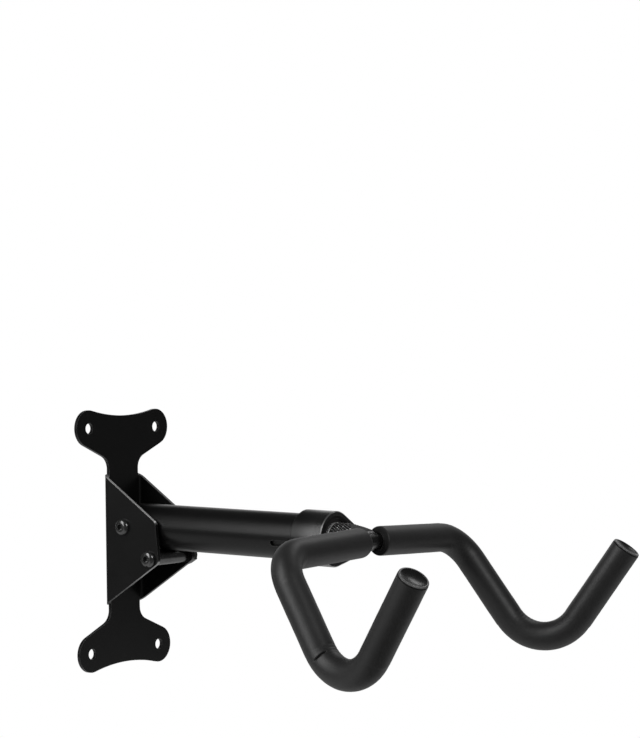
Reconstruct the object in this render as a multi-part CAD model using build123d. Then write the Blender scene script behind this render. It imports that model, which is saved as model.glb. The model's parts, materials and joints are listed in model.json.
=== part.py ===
"""Folding wall rack for one bicycle: a bent steel bracket, a tube arm that folds up on a bolt,
and a foam-covered two-hook yoke whose round stem is clamped in the end of the arm.

Millimetres. The origin is the centre of the bracket's back face, midway between the four wall holes.
+Z is up, +X is to the right of someone facing the wall, and the rack reaches out along -Y.
"""
import os
from math import cos, radians, sin, sqrt, tan
from build123d import *

# Wall bracket: one bent steel sheet
SHEET = 3.0                    # sheet thickness
HOLE_SPACING_X = 86.0          # wall holes, side to side
HOLE_SPACING_Z = 190.0         # wall holes, up and down
HOLE_DIAMETER = 9.0
EAR_RIM = 11.0                 # metal round each wall hole
EDGE_SAG = 5.0                 # hollow of the top and bottom edges below the ears
EAR_SLOPE = 22.8               # slope of each ear's inner edge, degrees
NECK_FILLET = 12.0             # round between an ear and the neck
BEND_RADIUS = 2.5              # inside radius of the two bends
CHEEK_AHEAD = 10.5             # cheek in front of the stop's axis
CHEEK_BELOW = 3.0              # cheek's front corner below the stop's axis
CHEEK_RISE = 38.0              # height gained by each sloped edge from the front to the wall
CHEEK_LEAN = 3.0               # upper front corner set back from the lower one
CHEEK_DROP = 1.9               # upper front corner nearer to the bracket's middle than the lower one
CHEEK_ROUND = 5.0              # round of the cheeks' front corners

# Pivot and stop, both on the same size of bolt
PIVOT_UP = 11.5                # pivot above the bracket's centre
STOP_OUT = 28.0                # stop axis further out than the pivot
BOLT_DIAMETER = 8.0
BOLT_TAIL = 2.4                # bolt past its nut
BOLT_CHAMFER = 0.8
HEAD_RIM = 3.0                 # head wider than the bolt, each side
HEAD_HEIGHT = 4.4
HEAD_EDGE = 0.9                # straight edge under the head's crown
SOCKET_FLATS = 5.0
SOCKET_DEPTH = 2.6
WASHER_RIM = 4.0               # washer wider than the bolt, each side
WASHER_THICKNESS = 1.6
NUT_WALL = 2.5                 # bolt to the nut's flats
NUT_HEX_HEIGHT = 6.0
NUT_COLLAR_WALL = 1.8          # wall of the nut's locking collar
NUT_COLLAR_HEIGHT = 2.0
SPACER_WALL = 1.9              # pivot sleeve and stop spacer are cut from one tube

# Arm
TUBE_DIAMETER = 38.0
TUBE_WALL = 2.5
TUBE_FRONT = 204.0             # tube's open end, from the pivot
TUBE_BACK_GAP = 4.5            # wall plate to the tube's back end
ARM_DROOP = 1.7                # arm below level while it rests on the stop, degrees
SLIT_WIDTH = 5.0
SLIT_LENGTH = 52.0             # round end of the slit to the tube's open end
SLIT_ANGLE = 195.0             # direction of the slit about the arm, degrees from +X towards +Z
BUSH_WALL = 1.45
BUSH_DEPTH = 7.0               # bush inside the tube's side
BUSH_LIP = 4.5                 # flange wider than the bush, each side
BUSH_FLANGE = 1.65             # flange thickness

# Clamp collar and its bolt
COLLAR_LENGTH = 30.0
COLLAR_WALL = 3.45
COLLAR_OVERHANG = 0.5          # collar past the tube's open end
COLLAR_EDGE = 0.8              # broken outer edges
LUG_ANGLE = -9.2               # direction of the lug about the arm, degrees from +X towards +Z
LUG_TAPER = 21.8               # slope of each side of the lug to its middle, degrees
LUG_MARGIN = 7.0               # clamp bolt's axis to the lug's end
LUG_ROUND = 3.0
LUG_SLIT = 3.0
CLAMP_BOLT_AWAY = 9.5          # tube's side to the clamp bolt's axis
CLAMP_BOLT_DIAMETER = 6.0
CLAMP_BOLT_LENGTH = 16.0
CLAMP_HEAD_RIM = 2.0           # head wider than the bolt, each side
CLAMP_HEAD_HEIGHT = 6.0
CLAMP_HEAD_CHAMFER = 0.6
CLAMP_SOCKET_FLATS = 5.0
CLAMP_SOCKET_DEPTH = 3.0
CLAMP_SEAT = 4.0               # lug metal under the clamp bolt's head

# Stem and the split liner between it and the tube
LINER_WALL = 2.9
LINER_RECESS = 1.0             # liner inside the tube's open end
LINER_TAIL = 6.0               # liner behind the stem
LINER_SLIT = 4.0
STEM_WALL = 4.0
STEM_END = 10.0                # solid end of the stem
STEM_INSIDE = 48.0             # stem inside the arm tube
STEM_SHOWN = 25.5              # collar to the back of the rod
NOSE_LENGTH = 15.0             # sloped flats above and below the stem's end
NOSE_HEIGHT = 16.6             # stem's height at its end, across the flats

# Yoke: bent rod, welds, foam sleeves and end caps
ROD_DIAMETER = 12.0
SADDLE_DEPTH = 2.0             # rod let into the stem's end
CORNER_SIDE = 122.0            # crossbar corner: to the side, further out, further down
CORNER_OUT = 3.0
CORNER_DOWN = 3.5
VALLEY_SIDE = 138.3            # bottom of each hook
VALLEY_OUT = 79.2
VALLEY_DOWN = 108.5
TIP_SIDE = 155.0               # outer face of each end cap
TIP_OUT = 146.0
TIP_DOWN = 6.0
CORNER_BEND = 28.0             # bend radii at the rod's centre line
VALLEY_BEND = 36.0
MIDDLE_BEND = 200.0
BEAD_LEG = 3.4                 # weld bead's foot on the stem's end
BEAD_LENGTH = 16.0
BEAD_CROWN = 0.75              # bead's thickness beside the rod
BEAD_SHOULDER = 0.3            # bead's shoulder inside its foot
FOAM_WALL = 5.7
FOAM_GAP = 0.5                 # foam to the side of the stem
CAP_FLANGE = 3.0
CAP_PLUG = 10.0                # cap's plug inside the foam
CAP_RIM = 2.4
CAP_DISH = 1.6

# Clearances
BOLT_CLEARANCE = 0.2           # round a bolt in a plain hole
HEAD_CLEARANCE = 0.4           # round a bolt's head in a counterbore
THREAD_CLEARANCE = 0.05        # round a bolt in a nut or a tapped hole
SPACER_CLEARANCE = 0.1         # round a bolt in a spacer
RUNNING_CLEARANCE = 0.05       # bush on its sleeve, stem in its liner
SEAT_CLEARANCE = 0.05          # parts that are pushed or clamped together
SIDE_CLEARANCE = 0.3           # bush flange to cheek
STOP_CLEARANCE = 0.3           # tube to stop spacer
FOLD_CLEARANCE = 0.5           # folded tube to bracket
FOAM_CLEARANCE = 0.15          # foam round the rod
TOLERANCE = 0.01               # for finding corners of an outline

# Worked out from the sizes above: bolts and arm
BOLT_RADIUS = BOLT_DIAMETER / 2
SPACER_RADIUS = BOLT_RADIUS + SPACER_CLEARANCE + SPACER_WALL
BUSH_BORE_RADIUS = SPACER_RADIUS + RUNNING_CLEARANCE
BUSH_RADIUS = BUSH_BORE_RADIUS + BUSH_WALL
TUBE_RADIUS = TUBE_DIAMETER / 2
TUBE_BORE_RADIUS = TUBE_RADIUS - TUBE_WALL
PIVOT_OUT = SHEET + FOLD_CLEARANCE + TUBE_RADIUS
TUBE_BACK = PIVOT_OUT - SHEET - TUBE_BACK_GAP
STOP_DROP = TUBE_RADIUS + STOP_CLEARANCE + SPACER_RADIUS
STOP_DOWN = (STOP_DROP + STOP_OUT * sin(radians(ARM_DROOP))) / cos(radians(ARM_DROOP))

# Bracket round the arm
CHEEK_INSIDE = TUBE_DIAMETER + 2 * (SEAT_CLEARANCE + BUSH_FLANGE + SIDE_CLEARANCE)
CHEEK_WIDTH = CHEEK_INSIDE + 2 * SHEET
CHEEK_REACH = PIVOT_OUT + STOP_OUT + CHEEK_AHEAD
CHEEK_FRONT = 2 * (STOP_DOWN - PIVOT_UP + CHEEK_BELOW)
CHEEK_ROOT = CHEEK_FRONT + 2 * CHEEK_RISE
BEND_OUTSIDE = BEND_RADIUS + SHEET
EAR_RADIUS = HOLE_DIAMETER / 2 + EAR_RIM
BOLT_LENGTH = CHEEK_WIDTH + WASHER_THICKNESS + NUT_HEX_HEIGHT + NUT_COLLAR_HEIGHT + BOLT_TAIL

# Collar, stem and yoke
COLLAR_BORE_RADIUS = TUBE_RADIUS + SEAT_CLEARANCE
COLLAR_RADIUS = COLLAR_BORE_RADIUS + COLLAR_WALL
COLLAR_FRONT = TUBE_FRONT + COLLAR_OVERHANG
COLLAR_MIDDLE = COLLAR_FRONT - COLLAR_LENGTH / 2
CLAMP_BOLT_OUT = TUBE_RADIUS + CLAMP_BOLT_AWAY
CLAMP_BOLT_RADIUS = CLAMP_BOLT_DIAMETER / 2
CLAMP_HEAD_RADIUS = CLAMP_BOLT_RADIUS + CLAMP_HEAD_RIM
CLAMP_SEAT_UP = LUG_SLIT / 2 + CLAMP_SEAT
LUG_REACH = CLAMP_BOLT_OUT + LUG_MARGIN
LINER_RADIUS = TUBE_BORE_RADIUS - SEAT_CLEARANCE
LINER_BORE_RADIUS = LINER_RADIUS - LINER_WALL
STEM_RADIUS = LINER_BORE_RADIUS - RUNNING_CLEARANCE
STEM_BACK = TUBE_FRONT - STEM_INSIDE
ROD_RADIUS = ROD_DIAMETER / 2
YOKE_OUT = COLLAR_FRONT + STEM_SHOWN + ROD_RADIUS
STEM_FRONT = YOKE_OUT - ROD_RADIUS + SADDLE_DEPTH
FOAM_BORE_RADIUS = ROD_RADIUS + FOAM_CLEARANCE
FOAM_RADIUS = FOAM_BORE_RADIUS + FOAM_WALL
FOAM_START = STEM_RADIUS + FOAM_GAP

# The arm and the yoke are drawn level from the pivot, then lowered onto the stop
ARM_PLACE = Location((0, -PIVOT_OUT, PIVOT_UP), (ARM_DROOP, 0, 0))
PIVOT_PLACE = Pos(0, -PIVOT_OUT, PIVOT_UP)
STOP_PLACE = Pos(0, -PIVOT_OUT - STOP_OUT, PIVOT_UP - STOP_DOWN)
ALONG_X = Rot(0, 90, 0)
ALONG_ARM = Rot(90, 0, 0)      # a solid drawn up from the ground then points out along the arm
LUG_PLACE = Rot(0, -LUG_ANGLE, 0)
UPWARD = (Align.CENTER, Align.CENTER, Align.MIN)

os.makedirs("parts", exist_ok=True)


def save(name, solid):
    """Writes one piece to its own file."""
    export_step(solid, f"parts/{name}.step")


def rod_along_x(radius, length):
    """A round bar centred on the X axis."""
    return ALONG_X * Cylinder(radius, length)


def arm_bar(radius, start, end):
    """A round bar on the arm's axis between two distances from the pivot."""
    return ALONG_ARM * Pos(0, 0, (start + end) / 2) * Cylinder(radius, end - start)


def ring(outer, inner, length):
    """A plain ring standing on the ground plane."""
    return Cylinder(outer, length, align=UPWARD) - Cylinder(inner, length, align=UPWARD)


def hex_bar(flats, length):
    """A hexagon bar standing on the ground plane."""
    return extrude(RegularPolygon(flats / 2, 6, major_radius=False), length)


# Wall bracket
def ear_face():
    """The flat plate: four ears joined by a narrow neck, with hollow top and bottom edges."""
    hole_x, hole_z = HOLE_SPACING_X / 2, HOLE_SPACING_Z / 2
    neck_x = CHEEK_WIDTH / 2 - BEND_OUTSIDE
    slope = radians(EAR_SLOPE)
    touch_x = hole_x + EAR_RADIUS * sin(slope)
    touch_z = hole_z - EAR_RADIUS * cos(slope)
    neck_z = touch_z - (touch_x - neck_x) * tan(slope)
    middle = EAR_RADIUS - EDGE_SAG
    hollow = (hole_x**2 + middle**2 - EAR_RADIUS**2) / (2 * EDGE_SAG)
    hollow_z = hole_z + middle + hollow
    share = EAR_RADIUS / (EAR_RADIUS + hollow)
    crest_x = hole_x * (1 - share)
    crest_z = hole_z + (hollow_z - hole_z) * share
    quarter = [(neck_x, neck_z), (touch_x, touch_z), (hole_x, hole_z), (crest_x, crest_z)]
    half = quarter + [(-x, z) for x, z in reversed(quarter)]
    outline = half + [(-x, -z) for x, z in half]
    face = Plane.XZ * Polygon(*outline, align=None)
    necks = [v for v in face.vertices() if abs(abs(v.X) - neck_x) < TOLERANCE]
    face = fillet(necks, NECK_FILLET)
    holes = GridLocations(HOLE_SPACING_X, HOLE_SPACING_Z, 2, 2)
    for place in holes:
        face += Plane.XZ * place * Circle(EAR_RADIUS)
    for side in (1, -1):
        face -= Plane.XZ * Pos(0, side * hollow_z) * Circle(hollow)
    for place in holes:
        face -= Plane.XZ * place * Circle(HOLE_DIAMETER / 2)
    return face


def wall_bracket():
    """The plate with its two side cheeks bent forward, drilled for the pivot and the stop."""
    outside = Pos(0, -CHEEK_REACH / 2) * Rectangle(CHEEK_WIDTH, CHEEK_REACH)
    outside = fillet(outside.vertices().group_by(Axis.Y)[-1], BEND_OUTSIDE)
    inside = Pos(0, -SHEET - CHEEK_REACH / 2) * Rectangle(CHEEK_INSIDE, CHEEK_REACH)
    inside = fillet(inside.vertices().group_by(Axis.Y)[-1], BEND_RADIUS)
    channel = extrude(outside - inside, CHEEK_ROOT / 2, both=True)
    root, front = CHEEK_ROOT / 2, CHEEK_FRONT / 2
    upper_front = (CHEEK_LEAN - CHEEK_REACH, front - CHEEK_DROP)
    corners = [(0, root), upper_front, (-CHEEK_REACH, -front), (0, -root)]
    side_view = Plane.YZ * Polygon(*corners, align=None)
    side_view = fillet(side_view.vertices().sort_by(Axis.Y)[:2], CHEEK_ROUND)
    channel &= extrude(side_view, CHEEK_WIDTH / 2, both=True)
    bracket = channel + extrude(ear_face(), SHEET)
    drill = rod_along_x(BOLT_RADIUS + BOLT_CLEARANCE, 2 * CHEEK_WIDTH)
    return bracket - PIVOT_PLACE * drill - STOP_PLACE * drill


# Fasteners of the pivot and the stop
def round_head_bolt():
    """A low round-headed socket bolt: the shank points along +X and the head sits at X = 0."""
    head = Pos(0, 0, -HEAD_HEIGHT) * Cylinder(BOLT_RADIUS + HEAD_RIM, HEAD_HEIGHT, align=UPWARD)
    head = fillet(head.edges().group_by(Axis.Z)[0], HEAD_HEIGHT - HEAD_EDGE)
    shank = extrude(Circle(BOLT_RADIUS), BOLT_LENGTH)
    shank = chamfer(shank.edges().group_by(Axis.Z)[-1], BOLT_CHAMFER)
    socket = Pos(0, 0, -HEAD_HEIGHT) * hex_bar(SOCKET_FLATS, SOCKET_DEPTH)
    return ALONG_X * (head + shank - socket)


def lock_nut():
    """A hexagon nut with the round collar of its locking ring, starting at X = 0."""
    height = NUT_HEX_HEIGHT + NUT_COLLAR_HEIGHT
    collar = extrude(Circle(BOLT_RADIUS + NUT_COLLAR_WALL), height)
    collar = fillet(collar.edges().group_by(Axis.Z)[-1], NUT_COLLAR_HEIGHT / 2)
    thread = extrude(Circle(BOLT_RADIUS + THREAD_CLEARANCE), height)
    return ALONG_X * (hex_bar(BOLT_DIAMETER + 2 * NUT_WALL, NUT_HEX_HEIGHT) + collar - thread)


def plain_washer():
    """A flat washer starting at X = 0."""
    return ALONG_X * ring(BOLT_RADIUS + WASHER_RIM, BOLT_RADIUS + BOLT_CLEARANCE, WASHER_THICKNESS)


def cheek_spacer():
    """A tube that keeps the cheeks apart round a bolt."""
    tube = rod_along_x(SPACER_RADIUS, CHEEK_INSIDE)
    return tube - rod_along_x(BOLT_RADIUS + SPACER_CLEARANCE, CHEEK_INSIDE)


def save_bolt_set(name, spacer_name, place):
    """One bolt through both cheeks with its spacer, washer and nut."""
    save(f"{name}_bolt", place * Pos(-CHEEK_WIDTH / 2, 0, 0) * round_head_bolt())
    save(spacer_name, place * cheek_spacer())
    save(f"{name}_washer", place * Pos(CHEEK_WIDTH / 2, 0, 0) * plain_washer())
    save(f"{name}_nut", place * Pos(CHEEK_WIDTH / 2 + WASHER_THICKNESS, 0, 0) * lock_nut())


# Arm
def radial_slit(angle, length, width):
    """A round-ended cutter on one side of the arm, running out past the tube's open end."""
    slot = Plane.YZ * Pos(-TUBE_FRONT, 0) * SlotOverall(2 * length, width)
    return Rot(0, -angle, 0) * extrude(slot, TUBE_DIAMETER)


def arm_tube():
    """The tube: mitred behind the pivot to clear the wall plate, slit at its open end."""
    tube = arm_bar(TUBE_RADIUS, -TUBE_BACK, TUBE_FRONT)
    tube -= arm_bar(TUBE_BORE_RADIUS, -TUBE_BACK, TUBE_FRONT)
    mitre = [(0, TUBE_RADIUS), (TUBE_DIAMETER, TUBE_RADIUS), (TUBE_DIAMETER, -TUBE_RADIUS)]
    tube -= extrude(Plane.YZ * Polygon(*mitre, align=None), TUBE_DIAMETER, both=True)
    tube -= radial_slit(SLIT_ANGLE, SLIT_LENGTH, SLIT_WIDTH)
    return tube - rod_along_x(BUSH_RADIUS + SEAT_CLEARANCE, 2 * TUBE_DIAMETER)


def pivot_bush(side):
    """One flanged bush: its body in the tube's side, its flange against the cheek."""
    depth = BUSH_DEPTH + SEAT_CLEARANCE
    body = ring(BUSH_RADIUS, BUSH_BORE_RADIUS, depth)
    flange = ring(BUSH_RADIUS + BUSH_LIP, BUSH_BORE_RADIUS, BUSH_FLANGE)
    bush = body + Pos(0, 0, depth) * flange
    return Rot(0, 90 * side, 0) * Pos(0, 0, TUBE_RADIUS - BUSH_DEPTH) * bush


# Clamp collar
def clamp_collar():
    """A split ring with a tapered lug, counterbored above the slit and tapped below it."""
    taper = radians(LUG_TAPER)
    touch_x, touch_z = COLLAR_RADIUS * sin(taper), COLLAR_RADIUS * cos(taper)
    end_z = (COLLAR_RADIUS / sin(taper) - LUG_REACH) * tan(taper)
    sides = [(touch_x, -touch_z), (LUG_REACH, -end_z), (LUG_REACH, end_z), (touch_x, touch_z)]
    lug = Plane.XZ * Polygon(*sides, align=None)
    lug = fillet(lug.vertices().group_by(Axis.X)[-1], LUG_ROUND)
    collar = extrude(lug + Plane.XZ * Circle(COLLAR_RADIUS), COLLAR_LENGTH)
    collar = chamfer(collar.edges().group_by(Axis.Y)[0] + collar.edges().group_by(Axis.Y)[-1], COLLAR_EDGE)
    collar = Pos(0, COLLAR_LENGTH - COLLAR_FRONT, 0) * collar
    collar -= arm_bar(COLLAR_BORE_RADIUS, 0, 2 * COLLAR_FRONT)
    collar -= Pos(LUG_REACH, -COLLAR_MIDDLE, 0) * Box(2 * LUG_REACH, 2 * COLLAR_LENGTH, LUG_SLIT)
    tapped = Cylinder(CLAMP_BOLT_RADIUS + THREAD_CLEARANCE, 4 * COLLAR_RADIUS)
    plain = Cylinder(CLAMP_BOLT_RADIUS + BOLT_CLEARANCE, 2 * COLLAR_RADIUS, align=UPWARD)
    counterbore = Cylinder(CLAMP_HEAD_RADIUS + HEAD_CLEARANCE, 2 * COLLAR_RADIUS, align=UPWARD)
    drill = tapped + plain + Pos(0, 0, CLAMP_SEAT_UP) * counterbore
    return LUG_PLACE * (collar - Pos(CLAMP_BOLT_OUT, -COLLAR_MIDDLE, 0) * drill)


def clamp_bolt():
    """The cylinder-headed socket bolt that draws the lug's halves together."""
    head = extrude(Circle(CLAMP_HEAD_RADIUS), CLAMP_HEAD_HEIGHT)
    head = chamfer(head.edges().group_by(Axis.Z)[-1], CLAMP_HEAD_CHAMFER)
    socket = hex_bar(CLAMP_SOCKET_FLATS, CLAMP_SOCKET_DEPTH)
    head -= Pos(0, 0, CLAMP_HEAD_HEIGHT - CLAMP_SOCKET_DEPTH) * socket
    shank = extrude(Circle(CLAMP_BOLT_RADIUS), -CLAMP_BOLT_LENGTH)
    return LUG_PLACE * Pos(CLAMP_BOLT_OUT, -COLLAR_MIDDLE, CLAMP_SEAT_UP) * (head + shank)


# Stem and liner
def stem_liner():
    """The split liner that fills the space between the stem and the tube."""
    front, back = TUBE_FRONT - LINER_RECESS, STEM_BACK - LINER_TAIL
    liner = arm_bar(LINER_RADIUS, back, front) - arm_bar(LINER_BORE_RADIUS, back, front)
    return liner - radial_slit(LUG_ANGLE, TUBE_FRONT - back + LINER_SLIT, LINER_SLIT)


def yoke_stem(rod_room):
    """The round stem, bored from behind, its closed end flattened to a saddle for the rod."""
    stem = arm_bar(STEM_RADIUS, STEM_BACK, STEM_FRONT)
    flats_start = STEM_FRONT - NOSE_LENGTH
    upper = [(STEM_BACK, STEM_RADIUS), (flats_start, STEM_RADIUS), (STEM_FRONT, NOSE_HEIGHT / 2)]
    outline = upper + [(out, -up) for out, up in reversed(upper)]
    side_view = Plane.YZ * Polygon(*[(-out, up) for out, up in outline], align=None)
    stem &= extrude(side_view, STEM_RADIUS, both=True)
    stem -= arm_bar(STEM_RADIUS - STEM_WALL, STEM_BACK, STEM_FRONT - STEM_END)
    return stem - rod_room


# Yoke
def yoke_point(side, across, out, down):
    """A point of the yoke, measured from the middle of the crossbar."""
    return Vector(side * across, -YOKE_OUT - out, -down)


def hook_points(side):
    """Corner, valley and tip of one hook's centre line."""
    corner = yoke_point(side, CORNER_SIDE, CORNER_OUT, CORNER_DOWN)
    valley = yoke_point(side, VALLEY_SIDE, VALLEY_OUT, VALLEY_DOWN)
    tip = yoke_point(side, TIP_SIDE, TIP_OUT, TIP_DOWN)
    return corner, valley, tip


def back_from_tip(side, distance):
    """A point on the centre line of the hook's last leg, short of the cap's outer face."""
    _, valley, tip = hook_points(side)
    return tip - (tip - valley).normalized() * distance


def along_yoke(section, short):
    """A section carried along the whole bent yoke, ending short of the caps' outer faces."""
    left_corner, left_valley, _ = hook_points(-1)
    right_corner, right_valley, _ = hook_points(1)
    left_end, right_end = back_from_tip(-1, short), back_from_tip(1, short)
    middle = yoke_point(1, 0, 0, 0)
    points = [left_end, left_valley, left_corner, middle, right_corner, right_valley, right_end]
    bends = [VALLEY_BEND, CORNER_BEND, MIDDLE_BEND, CORNER_BEND, VALLEY_BEND]
    path = FilletPolyline(*points, radius=bends)
    return sweep(Plane(path @ 0, z_dir=path % 0) * section, path=path)


def weld_bead(side, rod_room):
    """The weld along one side of the rod, in the corner between it and the stem's end."""
    gap = YOKE_OUT - STEM_FRONT
    foot = sqrt(ROD_RADIUS**2 - gap**2) + BEAD_LEG
    corners = [(STEM_FRONT, 0), (STEM_FRONT, foot), (STEM_FRONT + gap / 2, foot - BEAD_SHOULDER)]
    corners += [(YOKE_OUT, ROD_RADIUS + BEAD_CROWN), (YOKE_OUT, 0)]
    section = Plane.YZ * Polygon(*[(-out, side * up) for out, up in corners], align=None)
    return extrude(section, BEAD_LENGTH / 2, both=True) - rod_room


def foam_sleeve(side):
    """The foam tube on one half of the yoke, from beside the stem to the cap."""
    foam = along_yoke(Circle(FOAM_RADIUS) - Circle(FOAM_BORE_RADIUS), CAP_FLANGE)
    span = 2 * (TIP_OUT + TIP_SIDE + VALLEY_DOWN)
    return foam & Pos(side * (FOAM_START + span / 2), -YOKE_OUT, 0) * Box(span, span, span)


def end_cap(side):
    """The dished plastic cap with its plug in the foam's open end."""
    _, valley, tip = hook_points(side)
    radius = FOAM_RADIUS - FOAM_CLEARANCE
    dish = radius - CAP_RIM
    ball = (dish**2 + CAP_DISH**2) / (2 * CAP_DISH)
    flange = extrude(Circle(radius), CAP_FLANGE)
    flange = fillet(flange.edges().group_by(Axis.Z)[-1], CAP_RIM / 2)
    flange -= Pos(0, 0, CAP_FLANGE + ball - CAP_DISH) * Sphere(ball)
    plug = extrude(Circle(FOAM_BORE_RADIUS - SEAT_CLEARANCE), SEAT_CLEARANCE - CAP_PLUG)
    place = Plane(back_from_tip(side, CAP_FLANGE), z_dir=tip - valley)
    return place * (flange + plug)


# Write every piece
save("wall_bracket", wall_bracket())
save_bolt_set("pivot", "pivot_sleeve", PIVOT_PLACE)
save_bolt_set("stop", "stop_spacer", STOP_PLACE)
save("arm_tube", ARM_PLACE * arm_tube())
save("clamp_collar", ARM_PLACE * clamp_collar())
save("clamp_bolt", ARM_PLACE * clamp_bolt())
save("stem_liner", ARM_PLACE * stem_liner())
rod_room = along_yoke(Circle(ROD_RADIUS + SEAT_CLEARANCE), CAP_FLANGE + CAP_PLUG)
save("yoke_stem", ARM_PLACE * yoke_stem(rod_room))
save("hook_rod", ARM_PLACE * along_yoke(Circle(ROD_RADIUS), CAP_FLANGE + CAP_PLUG))
for side, hand in ((-1, "left"), (1, "right")):
    save(f"pivot_bush_{hand}", ARM_PLACE * pivot_bush(side))
    save(f"foam_sleeve_{hand}", ARM_PLACE * foam_sleeve(side))
    save(f"end_cap_{hand}", ARM_PLACE * end_cap(side))
for side, level in ((-1, "lower"), (1, "upper")):
    save(f"weld_bead_{level}", ARM_PLACE * weld_bead(side, rod_room))
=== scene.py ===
# %% [markdown]
# # A folding bicycle wall rack
#
# The rack is a bent steel bracket, a tube arm that folds up against the wall, and a yoke of two
# foam-covered hooks whose stem is clamped in the end of the arm. The pieces arrive at their true size in
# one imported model. This lesson dresses them: plain solids become coated steel, knurled steel, foam and
# moulded plastic, and the few pieces whose surface has a real form of its own are built again as meshes.
#
# Lengths are in metres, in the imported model's frame: +Z is up, +X is to the right of someone facing the
# wall, and the rack reaches out along -Y.

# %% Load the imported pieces
import json
from math import acos, cos, exp, pi, radians, sin, sqrt, tan

import bmesh
import bpy
from mathutils import Matrix, Quaternion, Vector, noise


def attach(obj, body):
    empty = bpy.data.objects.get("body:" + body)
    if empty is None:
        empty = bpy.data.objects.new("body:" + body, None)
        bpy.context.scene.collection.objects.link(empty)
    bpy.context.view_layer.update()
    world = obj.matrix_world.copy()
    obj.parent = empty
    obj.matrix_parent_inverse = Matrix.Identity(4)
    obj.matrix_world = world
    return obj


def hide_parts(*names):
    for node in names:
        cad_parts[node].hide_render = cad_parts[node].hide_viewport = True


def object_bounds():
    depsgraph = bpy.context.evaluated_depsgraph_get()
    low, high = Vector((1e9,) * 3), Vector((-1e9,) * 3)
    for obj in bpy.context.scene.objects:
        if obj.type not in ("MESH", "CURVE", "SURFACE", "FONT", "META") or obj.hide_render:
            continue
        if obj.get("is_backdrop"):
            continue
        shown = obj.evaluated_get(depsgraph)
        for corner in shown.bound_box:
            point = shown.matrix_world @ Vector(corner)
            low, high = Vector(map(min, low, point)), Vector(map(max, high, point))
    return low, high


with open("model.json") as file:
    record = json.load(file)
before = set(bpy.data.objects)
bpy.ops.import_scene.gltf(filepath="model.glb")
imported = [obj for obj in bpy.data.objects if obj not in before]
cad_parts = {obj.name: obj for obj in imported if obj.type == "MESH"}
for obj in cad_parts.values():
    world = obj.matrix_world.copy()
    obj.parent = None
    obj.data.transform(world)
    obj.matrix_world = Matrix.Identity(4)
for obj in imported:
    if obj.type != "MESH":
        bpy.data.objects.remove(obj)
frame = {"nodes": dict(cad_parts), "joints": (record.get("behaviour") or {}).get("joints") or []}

MM = 0.001
nodes = frame["nodes"]
joints = {joint["name"]: joint for joint in frame["joints"]}
cad_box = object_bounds()
cad_middle = (cad_box[0] + cad_box[1]) / 2
print(f"{len(nodes)} pieces, {(cad_box[1] - cad_box[0]).length:.3f} m from corner to corner")

# %% [markdown]
# ## Directions of the arm
#
# Two joints carry all the motion. The fold joint gives the place of the pivot bolt, and the yoke's joint
# gives the arm's own line, which droops a little below level. Taking them from the joints is safer than
# writing them twice. Every place on arm and yoke is then measured from the pivot.

# %% Directions of the arm
pivot = Vector(joints["arm_fold"]["pos_m"])
outward = Vector(joints["yoke_roll"]["axis"]).normalized()
sideways = Vector((1, 0, 0))
upward = outward.cross(sideways)


def on_arm(out, side=0.0, up=0.0):
    """A point measured from the pivot: along the arm, to the right of it and above it."""
    return pivot + outward * out + sideways * side + upward * up


print("the arm points along", tuple(round(x, 4) for x in outward))

# %% [markdown]
# ## Camera
#
# The picture is taken almost level from the left of the rack with a long lens. The lens, the turn and the
# pivot's place in the view were found by matching the rack's corners, holes and hooks to the photograph,
# so nothing is shifted or cropped. The long side of the picture is its height, and Blender fits the
# sensor's width to the long side.

# %% Camera
PHOTO_HEIGHT = 738
FOCAL_PIXELS = 2150.5
AZIMUTH = radians(-53.86)
ELEVATION = radians(-0.57)
ROLL = radians(-0.87)
PIVOT_RIGHT = -0.1521          # the pivot as the camera sees it
PIVOT_ABOVE = -0.1334
PIVOT_AHEAD = 1.8352


def add_object(name, data):
    """A new object in the scene that holds this data."""
    made = bpy.data.objects.new(name, data)
    bpy.context.scene.collection.objects.link(made)
    return made


level = Vector((cos(AZIMUTH), sin(AZIMUTH), 0))
ahead = Vector((-sin(AZIMUTH) * cos(ELEVATION), cos(AZIMUTH) * cos(ELEVATION), -sin(ELEVATION)))
plumb = level.cross(ahead)
view_right = level * cos(ROLL) + plumb * sin(ROLL)
view_up = plumb * cos(ROLL) - level * sin(ROLL)
eye = pivot - view_right * PIVOT_RIGHT - view_up * PIVOT_ABOVE - ahead * PIVOT_AHEAD
camera = add_object("camera", bpy.data.cameras.new("camera"))
camera.matrix_world = Matrix.Translation(eye) @ Matrix((view_right, view_up, -ahead)).transposed().to_4x4()
camera.data.lens = FOCAL_PIXELS * camera.data.sensor_width / PHOTO_HEIGHT
bpy.context.scene.camera = camera
bpy.context.scene.view_settings.view_transform = "Standard"
print(f"lens {camera.data.lens:.1f} mm, {(eye - cad_middle).length:.2f} m from the rack's middle")

# %% [markdown]
# ## A small language for shaders
#
# A finish is a graph of nodes, and graphs written as node calls are hard to read. Here a socket is wrapped
# so that ordinary sums add Math nodes, and every other node comes from one method: its type, its
# settings, then the values or links of its sockets. The same class serves materials and the world.

# %% Sums on sockets
class Wire:
    """A value socket that can be used in Python sums."""

    def __init__(self, paint, socket):
        self.paint = paint
        self.socket = socket

    def sum(self, operation, first, second):
        """One Math node on two values."""
        return self.paint.node("ShaderNodeMath", {"operation": operation}, {0: first, 1: second})

    def __add__(self, other):
        return self.sum("ADD", self, other)

    def __sub__(self, other):
        return self.sum("SUBTRACT", self, other)

    def __rsub__(self, other):
        return self.sum("SUBTRACT", other, self)

    def __mul__(self, other):
        return self.sum("MULTIPLY", self, other)

    def __pow__(self, other):
        return self.sum("POWER", self, other)

    __radd__ = __add__
    __rmul__ = __mul__


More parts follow.
